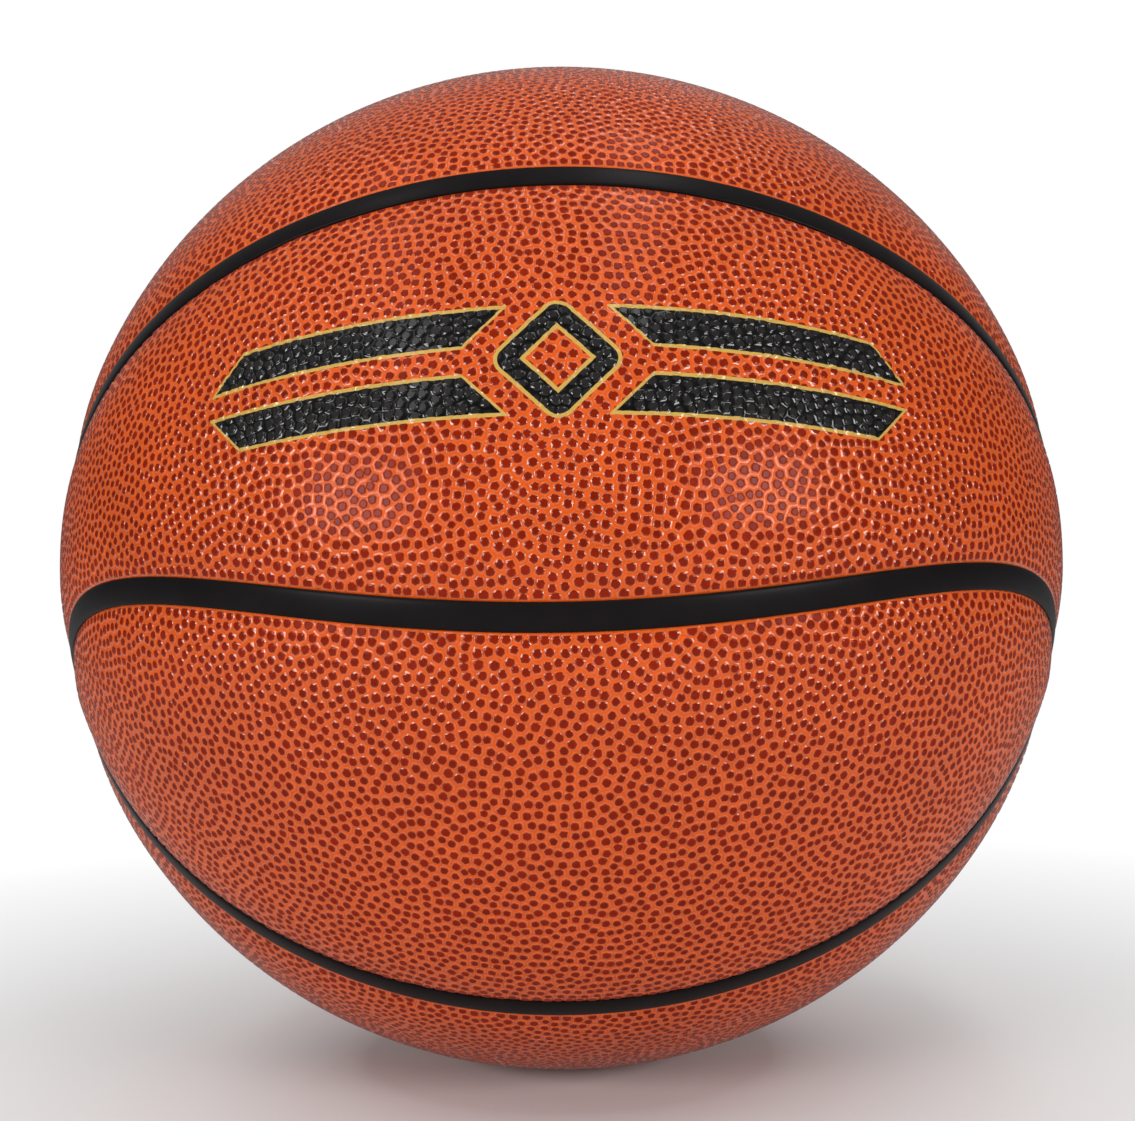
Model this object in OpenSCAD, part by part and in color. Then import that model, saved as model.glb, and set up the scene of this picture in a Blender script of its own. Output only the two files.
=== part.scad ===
// An indoor and outdoor basketball, laid up from the inside out:
// bladder, thread winding, ribbed rubber carcass, sponge pads and eight grained cover panels,
// with a self-sealing needle valve through the back crescent.
// The pattern is drawn with the crossing axis of the seams along X and the loops' poles along Y,
// and the whole ball is then leaned about X.

/* [Ball] */
// Diameter over the crowns of the panels, a size 7 ball
ball_d = 240; // [200:1:260]
// How high the centre seam stands above the level, seen from the front, in degrees
seam_lean = 40.7; // [0:0.1:90]

/* [Seams] */
// Width of the smooth rib that fills each seam
rib_w = 5.6; // [4:0.1:9]
// How far the rib lies below the crowns of the panels
rib_recess = 0.8; // [0.3:0.1:1.2]
// Angle from a loop's pole to the loop at its waist, in degrees
loop_waist = 45; // [40:1:50]
// Angle from a loop's pole to the loop at its ends, in degrees
loop_reach = 73; // [68:1:78]

/* [Cover] */
// Thickness of a cover panel over its pad, with the grain
cover_t = 1.3; // [1:0.1:2]
// Thickness of the sponge pad under each panel
pad_t = 0.8; // [0.5:0.1:1.5]
// How far a pad stops short of the rib
pad_margin = 3; // [1.5:0.1:6]
// Width over which a panel's skived edge rolls down to the rib
roll_w = 3.2; // [1:0.1:5]
// Depth to which the edge has rolled down at the rib
roll_drop = 1; // [0.4:0.1:1.2]

/* [Core layers] */
// Thickness of the rubber carcass between its ribs
carcass_t = 1; // [0.8:0.1:2]
// Thickness of the thread winding
winding_t = 0.5; // [0.3:0.1:1]
// Thickness of the bladder
bladder_t = 0.7; // [0.5:0.1:1.5]

/* [Valve] */
// Diameter of the needle bore, for a common inflating needle
needle_d = 2.4; // [2:0.1:2.8]
// Length of the straight needle bore
needle_bore_l = 11; // [8:0.5:14]
// Diameter of the bore's countersunk mouth
mouth_d = 3.8; // [3:0.1:4.4]
// Depth of the countersunk mouth
mouth_h = 1; // [0.5:0.1:1.5]
// Diameter of the core's shaft
core_d = 5; // [4.6:0.1:6]
// Largest diameter of the core's barb
barb_d = 7.6; // [6.5:0.1:9]
// Height of each cone of the barb
barb_h = 2; // [1:0.1:3]
// Height of the core's sealing lips
lips_h = 4; // [3:0.1:6]
// Thickness of the closed lips at their tip
lips_t = 1.4; // [1:0.1:2]
// Width of the slit between the lips
slit_t = 0.2; // [0.1:0.05:0.4]
// How far the core's face lies below the crown
core_sink = 0.7; // [0.2:0.1:1.2]
// Clearance between the core and the hole in the cover
core_gap = 0.3; // [0.1:0.1:0.6]
// Diameter of the smooth land pressed into the cover round the valve
land_d = 11; // [8:0.5:16]
// Depth of the land
land_sink = 0.4; // [0.2:0.1:0.8]
// Diameter of the housing's neck through the layers
neck_d = 9; // [8:0.5:12]
// Diameter of the housing's boss inside the bladder
boss_d = 12; // [10:0.5:16]
// Length of the boss, measured from the inside of the bladder
boss_l = 11; // [9:0.5:16]
// Width of the cone that carries the boss on its flange
boss_flare = 3; // [1:0.5:6]
// Diameter of the housing's flange
flange_d = 32; // [24:1:44]
// Thickness of the flange
flange_t = 1.2; // [0.8:0.1:2]

/* [Hidden] */
PLACES = ["top", "front", "bottom", "back"];

// Radii of the layers, from the outside in
ball_r = ball_d / 2;
rib_r = ball_r - rib_recess;
pad_r = ball_r - cover_t;
carcass_r = pad_r - pad_t;
winding_r = carcass_r - carcass_t;
bladder_r = winding_r - winding_t;
air_r = bladder_r - bladder_t;

// A loop seam is where a round post along X cuts the ball.
// Its centre and radius put the loop at loop_waist and loop_reach from the pole.
loop_c = ball_r * pow(sin(loop_reach), 2) / (2 * (cos(loop_waist) - cos(loop_reach)));
loop_r = loop_c - ball_r * cos(loop_reach);
// The post's wall leans, so a width along the surface is a little less across the wall
loop_slope = sin(loop_reach);

// The rolled edge is a quarter ellipse, laid down in level steps
roll_steps = 3;
roll_turn = 90 / (roll_steps + 1 / 2);

// The valve stands in the middle of the back crescent
valve_turn = 180 + (90 - loop_waist) / 2;
core_top = ball_r - core_sink;
bore_foot = core_top - mouth_h - needle_bore_l;
slit_w = needle_d - 2 * slit_t;
housing_foot = air_r - boss_l;
lips_foot = housing_foot - 2 * barb_h - lips_h;

// Colours
cover_colour = [0.72, 0.31, 0.16];
pad_colour = [0.86, 0.78, 0.62];
rubber_colour = [0.11, 0.11, 0.12];
thread_colour = [0.9, 0.89, 0.84];
bladder_colour = [0.2, 0.19, 0.2];
valve_colour = [0.15, 0.15, 0.16];

$fn = 144;

// Places one quarter of the pattern: the top quarter is drawn, and the others are its mirrors
module placed(place) {
    below = place == "front" || place == "bottom";
    behind = place == "back" || place == "bottom";
    mirror([0, below ? 1 : 0, 0])
        mirror([0, 0, behind ? 1 : 0])
            children();
}

// Leans the finished pattern as the ball lies
module laid() {
    rotate([90 - seam_lean, 0, 0])
        children();
}

// Turns a piece drawn along Z to the valve's place in the pattern
module at_valve() {
    rotate([valve_turn, 0, 0])
        children();
}

// Shell between two spheres
module shell(outer, inner) {
    difference() {
        sphere(r = outer);
        sphere(r = inner);
    }
}

// Round post along X whose cut with the ball is a loop seam
module loop_post(r) {
    translate([-ball_r, loop_c, 0])
        rotate([0, 90, 0])
            cylinder(r = r, h = ball_d);
}

// Space of the top crescent, held back from the middle of its ribs
module crescent_room(back) {
    difference() {
        translate([-ball_r, back, back])
            cube([ball_d, ball_r, ball_r]);
        loop_post(loop_r + back * loop_slope);
    }
}

// Space of the top lens, held back from the middle of its ribs
module lens_room(back) {
    intersection() {
        translate([-ball_r, 0, back])
            cube([ball_d, ball_d, ball_r]);
        loop_post(loop_r - back * loop_slope);
    }
}

// Space of one panel by the name of its form
module room(form, back) {
    if (form == "crescent")
        crescent_room(back);
    else
        lens_room(back);
}

// Sponge pad of a panel, as far in from the rib as its margin
module pad_body(form) {
    intersection() {
        room(form, rib_w / 2 + pad_margin);
        shell(pad_r, carcass_r);
    }
}

// Grained cover panel: its skived edge rolls down to the rib, and it closes over its pad
module panel_body(form) {
    difference() {
        for (k = [0:roll_steps])
            intersection() {
                room(form, rib_w / 2 + roll_w * (1 - sin((k + 1 / 2) * roll_turn)));
                sphere(r = ball_r - roll_drop * (1 - cos(k * roll_turn)));
            }
        sphere(r = carcass_r);
        pad_body(form);
    }
}

// Hole of one diameter along the valve's axis, from a given radius outwards
module valve_hole(d, from) {
    at_valve()
        translate([0, 0, from])
            cylinder(d = d, h = ball_d - from);
}

module crescent_panel(place) {
    color(cover_colour)
        laid()
            difference() {
                placed(place)
                    panel_body("crescent");
                if (place == "back")
                    valve_hole(core_d + 2 * core_gap, 0);
                if (place == "back")
                    valve_hole(land_d, ball_r - land_sink);
            }
}

module lens_panel(place) {
    color(cover_colour)
        laid()
            placed(place)
                panel_body("lens");
}

module crescent_pad(place) {
    color(pad_colour)
        laid()
            difference() {
                placed(place)
                    pad_body("crescent");
                if (place == "back")
                    valve_hole(core_d + 2 * core_gap, 0);
            }
}

module lens_pad(place) {
    color(pad_colour)
        laid()
            placed(place)
                pad_body("lens");
}

// Middle strip of every seam: two great circles and two loops
module seam_strips() {
    translate([-ball_r, -rib_w / 2, -ball_r])
        cube([ball_d, rib_w, ball_d]);
    translate([-ball_r, -ball_r, -rib_w / 2])
        cube([ball_d, ball_d, rib_w]);
    for (side = [0, 1])
        mirror([0, side, 0])
            difference() {
                loop_post(loop_r + rib_w / 2 * loop_slope);
                loop_post(loop_r - rib_w / 2 * loop_slope);
            }
}

// Rubber shell with raised ribs, between which the panels are glued
module rubber_carcass() {
    color(rubber_colour)
        laid()
            difference() {
                union() {
                    sphere(r = carcass_r);
                    intersection() {
                        sphere(r = rib_r);
                        seam_strips();
                    }
                }
                sphere(r = winding_r);
                valve_hole(neck_d, 0);
            }
}

module thread_winding() {
    color(thread_colour)
        laid()
            difference() {
                shell(winding_r, bladder_r);
                valve_hole(neck_d, 0);
            }
}

module bladder() {
    color(bladder_colour)
        laid()
            difference() {
                shell(bladder_r, air_r);
                valve_hole(neck_d, 0);
            }
}

// Moulded rubber housing: a dished flange bonded inside the bladder, a boss and a neck
module valve_housing() {
    color(valve_colour)
        laid()
            at_valve()
                difference() {
                    union() {
                        intersection() {
                            sphere(r = carcass_r);
                            cylinder(d = neck_d, h = ball_r);
                        }
                        intersection() {
                            sphere(r = air_r);
                            union() {
                                translate([0, 0, housing_foot])
                                    cylinder(d = boss_d, h = boss_l);
                                translate([0, 0, air_r - 2 * flange_t - boss_flare])
                                    cylinder(d1 = boss_d, d2 = boss_d + 2 * boss_flare, h = boss_flare);
                                difference() {
                                    cylinder(d = flange_d, h = ball_r);
                                    sphere(r = air_r - flange_t);
                                }
                            }
                        }
                    }
                    cylinder(d = core_d, h = ball_r);
                    cylinder(d = neck_d + boss_d, h = housing_foot);
                }
}

// Self-sealing plug: a shaft with a barb that holds it behind the housing, and two closed lips
module valve_core() {
    color(valve_colour)
        laid()
            at_valve()
                difference() {
                    union() {
                        translate([0, 0, lips_foot])
                            cylinder(d = core_d, h = core_top - lips_foot);
                        translate([0, 0, housing_foot - barb_h])
                            cylinder(d1 = barb_d, d2 = core_d, h = barb_h);
                        translate([0, 0, housing_foot - 2 * barb_h])
                            cylinder(d1 = core_d, d2 = barb_d, h = barb_h);
                    }
                    lip_cut();
                    mirror([0, 1, 0])
                        lip_cut();
                    translate([0, 0, core_top - mouth_h])
                        cylinder(d1 = needle_d, d2 = mouth_d, h = mouth_h);
                    translate([0, 0, bore_foot])
                        cylinder(d = needle_d, h = needle_bore_l);
                    translate([-slit_w / 2, -slit_t / 2, lips_foot - lips_h])
                        cube([slit_w, slit_t, bore_foot + slit_t - lips_foot + lips_h]);
                }
}

// Wedge that thins one side of the lips towards their tip
module lip_cut() {
    translate([-core_d, 0, 0])
        rotate([90, 0, 90])
            linear_extrude(height = 2 * core_d)
                polygon([
                    [lips_t / 2, lips_foot - lips_h],
                    [core_d, lips_foot - lips_h],
                    [core_d, lips_foot + lips_h],
                    [core_d / 2, lips_foot + lips_h],
                    [lips_t / 2, lips_foot]
                ]);
}

for (p = PLACES) {
    crescent_panel(p);
    lens_panel(p);
    crescent_pad(p);
    lens_pad(p);
}
rubber_carcass();
thread_winding();
bladder();
valve_housing();
valve_core();
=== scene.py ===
# Dresses the basketball: grained leather panels, rubber ribs, valve, plain print, studio.
import math
import bmesh
import bpy
import numpy as np
from mathutils import Matrix, Vector
from mathutils.kdtree import KDTree


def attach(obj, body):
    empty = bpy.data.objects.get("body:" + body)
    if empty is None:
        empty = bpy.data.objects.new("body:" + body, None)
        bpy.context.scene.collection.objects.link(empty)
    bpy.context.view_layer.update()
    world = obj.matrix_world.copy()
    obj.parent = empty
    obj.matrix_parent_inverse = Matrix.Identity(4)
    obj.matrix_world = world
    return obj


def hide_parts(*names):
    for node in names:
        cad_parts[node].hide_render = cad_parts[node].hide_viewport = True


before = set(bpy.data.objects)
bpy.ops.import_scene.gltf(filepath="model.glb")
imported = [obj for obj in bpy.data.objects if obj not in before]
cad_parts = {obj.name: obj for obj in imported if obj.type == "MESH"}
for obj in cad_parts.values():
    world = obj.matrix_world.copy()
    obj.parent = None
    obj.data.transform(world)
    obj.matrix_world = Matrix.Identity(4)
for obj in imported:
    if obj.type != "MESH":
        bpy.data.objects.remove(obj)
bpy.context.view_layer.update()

MM = 0.001

# Sizes of the solids, in metres and radians
BALL_R = 120 * MM
SEAM_LEAN = math.radians(40.7)
RIB_W = 5.6 * MM
LOOP_WAIST = math.radians(45)
LOOP_REACH = math.radians(73)
COVER_T = 1.3 * MM
PAD_T = 0.8 * MM
CARCASS_T = 1.0 * MM
WINDING_T = 0.5 * MM
HOLE_R = 2.8 * MM
LAND_R = 5.5 * MM
NECK_R = 4.5 * MM
PAD_R = BALL_R - COVER_T
CARCASS_R = PAD_R - PAD_T
WINDING_R = CARCASS_R - CARCASS_T
BLADDER_R = WINDING_R - WINDING_T
LOOP_C = BALL_R * math.sin(LOOP_REACH) ** 2 / (2 * (math.cos(LOOP_WAIST) - math.cos(LOOP_REACH)))
LOOP_R = LOOP_C - BALL_R * math.cos(LOOP_REACH)
LOOP_SLOPE = math.sin(LOOP_REACH)

# The grain: pebbles in cells that tile each panel up to a plain edge
PITCH = 2.4 * MM
RISE = 0.42 * MM
VALLEY_R = BALL_R - RISE
GRAIN_EDGE = 0.1 * MM
ROLL_W = 14 * MM
ROLL_DEPTH = 1.1 * MM
ROLL_CURVE = 2.2
PAD_MARGIN = 3 * MM
GRAIN_SEED = 7

# How cells are laid out: shares of their pitch, then counts, then lengths
SHAKE = 0.3
CLEAR_OF_EDGE = 0.25
WELD = 0.03
HOLE_WELD = 0.14
LONG_SIDE = 0.74
NUDGE = 0.015
NEIGHBOURS = 14
RELAX_PASSES = 6
HOLE_CUTS = 3
SNAP = 0.03 * MM
ON_EDGE = 0.02 * MM
NEAR_HOLE = 1.5 * MM
TINY = 1e-12
OFF_AXIS = 0.8

# The sponge: pores in cells of this pitch
SPONGE_PITCH = 4.6 * MM
PORE_DEPTH = 0.35 * MM

# Which quarter of the pattern each place is: signs along the poles' axis and across it
PLACES = {"top": (1, 1), "front": (-1, 1), "bottom": (-1, -1), "back": (1, -1)}
PANELS = [(form, place) for place in PLACES for form in ("crescent", "lens")]
SEAMS = 3
LEAN = Matrix.Rotation(math.pi / 2 - SEAM_LEAN, 3, "X")
VALVE_LIFT = (math.pi / 2 - LOOP_WAIST) / 2
VALVE_AXIS = np.array((0, math.sin(VALVE_LIFT), math.cos(VALVE_LIFT)))
VALVE_WAY = Vector((0, VALVE_AXIS[1], -VALVE_AXIS[2]))


def unit(v):
    return v / np.linalg.norm(v, axis=-1, keepdims=True)


def tangent(p, direction):
    """Part of each direction that lies along the sphere at p, of length one."""
    flat = direction - p * np.sum(direction * p, axis=-1, keepdims=True)
    return unit(flat)


def edges_of(form, place, hole_r=LAND_R):
    """The distance of each edge from points in the top quarter and the way to it, the valve's edge last."""
    def straight(axis):
        arm = np.eye(3)[axis]
        return (lambda p: BALL_R * p[..., axis] - RIB_W / 2,
                lambda p: tangent(p, np.broadcast_to(-arm, p.shape)))

    def loop(side):
        def out(p):
            return np.stack((0 * p[..., 0], BALL_R * p[..., 1] - LOOP_C, BALL_R * p[..., 2]), -1)
        return (lambda p: side * (np.linalg.norm(out(p), axis=-1) - LOOP_R) / LOOP_SLOPE - RIB_W / 2,
                lambda p: tangent(p, -side * out(p)))

    if form == "lens":
        return [straight(2), loop(-1)]
    edges = [straight(1), straight(2), loop(1)]
    if place == "back":
        edges.append((lambda p: BALL_R * np.arccos(np.clip(p @ VALVE_AXIS, -1, 1)) - hole_r,
                      lambda p: tangent(p, np.broadcast_to(VALVE_AXIS, p.shape))))
    return edges


def spiral_sites(pitch, rng):
    """Even points over the whole sphere on a golden spiral, turned at random and shaken."""
    count = round(4 * math.pi * BALL_R ** 2 / (pitch ** 2 * math.sqrt(3) / 2))
    step = np.arange(count)
    height = 1 - (2 * step + 1) / count
    angle = step * math.pi * (3 - math.sqrt(5))
    ring = np.sqrt(1 - height ** 2)
    points = np.stack((ring * np.cos(angle), ring * np.sin(angle), height), -1)
    turn, _ = np.linalg.qr(rng.normal(size=(3, 3)))
    return unit(points @ turn + rng.normal(scale=SHAKE * pitch / BALL_R, size=points.shape))


def cells_of(sites, edges, inset):
    """Cells nearest each site, cut by a panel's edges: the corners, whose each is, and how many each has."""
    tree = KDTree(len(sites))
    for i, site in enumerate(sites):
        tree.insert(site, i)
    tree.balance()
    near = np.array([[hit[1] for hit in tree.find_n(site, NEIGHBOURS + 1)][1:] for site in sites])
    aside = np.where(np.abs(sites[:, :1]) < OFF_AXIS, [[1, 0, 0]], [[0, 1, 0]])
    across = unit(np.cross(sites, aside))
    up = np.cross(sites, across)
    others = sites[near]
    walls = np.stack([np.einsum("nkc,nc->nk", others, arm) for arm in (across, up)], -1)
    reach = 1 - np.einsum("nkc,nc->nk", others, sites)
    for distance, way in edges:
        d = way(sites)
        wall = np.stack((np.sum(d * across, -1), np.sum(d * up, -1)), -1)
        walls = np.concatenate((walls, wall[:, None]), 1)
        reach = np.concatenate((reach, np.tan((distance(sites) - inset) / BALL_R)[:, None]), 1)
    j, k = np.triu_indices(walls.shape[1], 1)
    cross = walls[:, j, 0] * walls[:, k, 1] - walls[:, j, 1] * walls[:, k, 0]
    cross[np.abs(cross) < TINY] = TINY
    u = (reach[:, j] * walls[:, k, 1] - reach[:, k] * walls[:, j, 1]) / cross
    v = (walls[:, j, 0] * reach[:, k] - walls[:, k, 0] * reach[:, j]) / cross
    inside = np.ones(u.shape, bool)
    for m in range(walls.shape[1]):
        over = u * walls[:, m, :1] + v * walls[:, m, 1:] - reach[:, m:m + 1]
        inside &= (over < TINY) | (j == m) | (k == m)
    order = np.argsort(np.where(inside, np.arctan2(v, u), math.inf), axis=1)
    sizes = inside.sum(1)
    picked = np.arange(order.shape[1])[None] < sizes[:, None]
    rows = np.nonzero(picked)[0]
    columns = order[picked]
    corners = unit(sites[rows] + u[rows, columns, None] * across[rows] + v[rows, columns, None] * up[rows])
    return corners, rows, sizes


def cell_middles(sites, corners, rows, sizes):
    """The middle of each cell's area."""
    following = np.arange(len(rows)) + 1
    ends = np.cumsum(sizes)
    following[ends - 1] = ends - sizes
    ahead = corners[following]
    weight = np.linalg.norm(np.cross(corners - sites[rows], ahead - sites[rows]), axis=-1)
    share = (corners + ahead + sites[rows]) * weight[:, None]
    return unit(np.stack([np.bincount(rows, share[:, c]) for c in range(3)], -1))


def cells_mesh(name, form, place, pitch, inset, radius, rng, hole_r=LAND_R, long_side=LONG_SIDE):
    """Cells that tile one panel's place up to a plain edge, with marks that tell where the seam is."""
    edges = edges_of(form, place, hole_r)
    sites = spiral_sites(pitch, rng)
    clear = np.min([distance(sites) for distance, _ in edges], axis=0) - inset
    sites = sites[clear > CLEAR_OF_EDGE * pitch]
    for _ in range(RELAX_PASSES):
        sites = cell_middles(sites, *cells_of(sites, edges, inset))
    corners, _, sizes = cells_of(sites, edges, inset)
    for distance, way in edges * 2:
        off = distance(corners) - inset
        snapped = unit(corners + way(corners) * (off / BALL_R)[:, None])
        corners = np.where((np.abs(off) < SNAP)[:, None], snapped, corners)
    starts = np.cumsum(sizes) - sizes
    mesh = bpy.data.meshes.new(name)
    mesh.from_pydata((corners * radius).tolist(), [], [list(range(a, a + n)) for a, n in zip(starts, sizes)])
    bm = bmesh.new()
    bm.from_mesh(mesh)
    bmesh.ops.remove_doubles(bm, verts=bm.verts, dist=WELD * pitch)
    for edge in edges[SEAMS:]:
        round_off_hole(bm, edge, inset, radius, HOLE_WELD * pitch)
    for side in [e for e in bm.edges if len(e.link_faces) == 2 and e.calc_length() > long_side * pitch]:
        along = side.verts[1].co - side.verts[0].co
        _, middle = bmesh.utils.edge_split(side, side.verts[0], 0.5)
        middle.co += along.cross(middle.co).normalized() * NUDGE * pitch
    bm.to_mesh(mesh)
    bm.free()
    mark_edges(mesh, edges, inset)
    put_in_place(mesh, place)
    return mesh


def round_off_hole(bm, edge, inset, radius, weld):
    """Splits the border round the valve finely and lays it on its circle."""
    distance, way = edge
    for cuts in (HOLE_CUTS, 0):
        ring = []
        for corner in [v for v in bm.verts if v.is_boundary]:
            spot = unit(np.array(corner.co))
            off = distance(spot) - inset
            if off < NEAR_HOLE:
                corner.co = unit(spot + way(spot) * off / BALL_R) * radius
                ring.append(corner)
        if cuts:
            bmesh.ops.remove_doubles(bm, verts=ring, dist=weld)
            ring = {v for v in ring if v.is_valid}
            sides = [e for e in bm.edges if e.is_boundary and ring.issuperset(e.verts)]
            bmesh.ops.subdivide_edges(bm, edges=sides, cuts=cuts)


def mark_edges(mesh, edges, inset):
    """Notes at each corner how far the seam is, and on the border which way the edge lies."""
    points = np.empty(3 * len(mesh.vertices))
    mesh.vertices.foreach_get("co", points)
    points = unit(points.reshape(-1, 3))
    gaps = np.stack([distance(points) for distance, _ in edges])
    at_edge = gaps < inset + ON_EDGE
    ways = np.stack([way(points) for _, way in edges]) * at_edge[..., None]
    total = ways.sum(0)
    square = np.maximum(np.sum(total * total, -1, keepdims=True), 1)
    outward = total * at_edge.sum(0)[:, None] / square
    valve = at_edge[SEAMS:].sum(0)
    mesh.attributes.new("edge", "FLOAT", "POINT").data.foreach_set("value", gaps[:SEAMS].min(0))
    mesh.attributes.new("outward", "FLOAT_VECTOR", "POINT").data.foreach_set("vector", outward.ravel())
    mesh.attributes.new("at_valve", "FLOAT", "POINT").data.foreach_set("value", valve.astype(float))


def put_in_place(mesh, place):
    """Mirrors a mesh of the top quarter to its own quarter, and leans it as the ball lies."""
    along, across = PLACES[place]
    turn = LEAN @ Matrix.Diagonal((1, along, across))
    mesh.transform(turn.to_4x4())
    for way in mesh.attributes["outward"].data:
        way.vector = turn @ way.vector
    if along * across < 0:
        mesh.flip_normals()


def put(tree, socket, source):
    if isinstance(source, bpy.types.NodeSocket):
        tree.links.new(source, socket)
    else:
        socket.default_value = source


def add(tree, kind, feeds=None, **settings):
    """One node of a tree, with its settings and what feeds its inputs."""
    node = tree.nodes.new(kind)
    for name, value in settings.items():
        setattr(node, name, value)
    for name, source in (feeds or {}).items():
        put(tree, node.inputs[name], source)
    return node


def figure(tree, operation, *sources, clamp=False):
    """A sum, root or other figure of numbers."""
    feeds = dict(enumerate(sources))
    return add(tree, "ShaderNodeMath", feeds, operation=operation, use_clamp=clamp).outputs[0]


def times(tree, a, b, *plus):
    """A product, and something added to it where that is given."""
    return figure(tree, "MULTIPLY_ADD" if plus else "MULTIPLY", a, b, *plus)


def minus(tree, a, b):
    return figure(tree, "SUBTRACT", a, b)


def around(tree, value, middle, swing):
    """A figure that swings round a middle with a value from 0 to 1."""
    return times(tree, minus(tree, value, 0.5), swing, middle)


def arrow(tree, operation, *sources):
    """A sum, product or other figure of vectors."""
    node = add(tree, "ShaderNodeVectorMath", operation=operation)
    for socket, source in zip(node.inputs, sources):
        put(tree, socket, source)
    return node.outputs["Value" if operation in ("LENGTH", "DOT_PRODUCT") else "Vector"]


def scaled(tree, vector, factor):
    feeds = {"Vector": vector, "Scale": factor}
    return add(tree, "ShaderNodeVectorMath", feeds, operation="SCALE").outputs[0]


def new_shape_tree(name, inputs):
    """An empty tree for making shapes: the tree, its named inputs and its output."""
    tree = bpy.data.node_groups.new(name, "GeometryNodeTree")
    face = tree.interface
    face.new_socket("Geometry", in_out="INPUT", socket_type="NodeSocketGeometry")
    for label, value in inputs.items():
        kind = {int: "NodeSocketInt", float: "NodeSocketFloat"}.get(type(value), "NodeSocketMaterial")
        socket = face.new_socket(label, in_out="INPUT", socket_type=kind)
        if value is not None:
            socket.default_value = value
    face.new_socket("Geometry", in_out="OUTPUT", socket_type="NodeSocketGeometry")
    return tree, tree.nodes.new("NodeGroupInput").outputs, tree.nodes.new("NodeGroupOutput").inputs[0]


def made_by(tree, name, mesh, **values):
    """Runs a shape tree on a mesh and keeps the result as a plain piece."""
    base = bpy.data.objects.new(name + ".base", mesh)
    bpy.context.scene.collection.objects.link(base)
    maker = base.modifiers.new("maker", "NODES")
    maker.node_group = tree
    sockets = {s.name: s.identifier for s in tree.interface.items_tree if s.in_out == "INPUT"}
    for label, value in values.items():
        maker[sockets[label]] = value
    bpy.context.view_layer.update()
    result = bpy.data.meshes.new_from_object(base.evaluated_get(bpy.context.evaluated_depsgraph_get()))
    bpy.data.objects.remove(base)
    return new_piece(name, result)


def new_piece(name, mesh):
    mesh.name = name
    piece = bpy.data.objects.new(name, mesh)
    bpy.context.scene.collection.objects.link(piece)
    return piece


def position(tree):
    return add(tree, "GeometryNodeInputPosition").outputs[0]


def facing(tree):
    return add(tree, "GeometryNodeInputNormal").outputs[0]


def chances(tree, given):
    """A random value from 0 to 1 for each face or point."""
    return add(tree, "FunctionNodeRandomValue", {"Seed": given["Seed"]}, data_type="FLOAT").outputs[1]


def named(tree, name, kind="FLOAT"):
    return add(tree, "GeometryNodeInputNamedAttribute", {"Name": name}, data_type=kind).outputs[0]


def keep(tree, shape, domain, **fields):
    """Keeps the values of fields as they are at this step."""
    node = add(tree, "GeometryNodeCaptureAttribute", domain=domain)
    for name, source in fields.items():
        node.capture_items.new("VECTOR" if source.type == "VECTOR" else "FLOAT", name)
        put(tree, node.inputs[name], source)
    put(tree, node.inputs[0], shape)
    return [node.outputs[0]] + [node.outputs[name] for name in fields]


def grown(tree, shape, chosen, mode):
    """New faces on the chosen ones or on the chosen edges, still flat on what they grow from."""
    feeds = {"Mesh": shape, "Selection": chosen, "Offset Scale": 0.0}
    node = add(tree, "GeometryNodeExtrudeMesh", feeds, mode=mode)
    if mode == "FACES":
        node.inputs["Individual"].default_value = True
    return node.outputs["Mesh"], node.outputs["Top"], node.outputs["Side"]


def moved(tree, shape, chosen, spot):
    feeds = {"Geometry": shape, "Selection": chosen, "Position": spot}
    return add(tree, "GeometryNodeSetPosition", feeds).outputs[0]


def stored(tree, shape, chosen, name, value, domain="POINT"):
    feeds = {"Geometry": shape, "Selection": chosen, "Name": name, "Value": value}
    return add(tree, "GeometryNodeStoreNamedAttribute", feeds, data_type="FLOAT", domain=domain).outputs[0]


def shaded(tree, shape, chosen, smooth):
    feeds = {"Geometry": shape, "Selection": chosen, "Shade Smooth": smooth}
    return add(tree, "GeometryNodeSetShadeSmooth", feeds, domain="FACE").outputs[0]


def handed_out(tree, shape, finish, out):
    """The tree's result: a plain mesh with its material."""
    plain = add(tree, "GeometryNodeRealizeInstances", {"Geometry": shape}).outputs[0]
    put(tree, out, add(tree, "GeometryNodeSetMaterial", {"Geometry": plain, "Material": finish}).outputs[0])


def rolled_over(tree, shape, width, depth):
    """Lowers the cells towards the seam, as the air inside rounds the panel."""
    place = position(tree)
    near = figure(tree, "SUBTRACT", 1.0, figure(tree, "DIVIDE", named(tree, "edge"), width), clamp=True)
    drop = times(tree, figure(tree, "POWER", near, ROLL_CURVE), depth)
    lower = arrow(tree, "SUBTRACT", place, scaled(tree, arrow(tree, "NORMALIZE", place), drop))
    return moved(tree, shape, True, lower)


# A pebble's shoulder and its flat top: share of the cell, how round, share of the rise, mark of height
PEBBLE_RINGS = ((0.68, 0.85, 0.8, 0.6), (0.51, 0.95, 1.0, 1.0))

# The share of its rise that the print's outline presses a pebble down by
PRESSED_BY = 0.8


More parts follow.
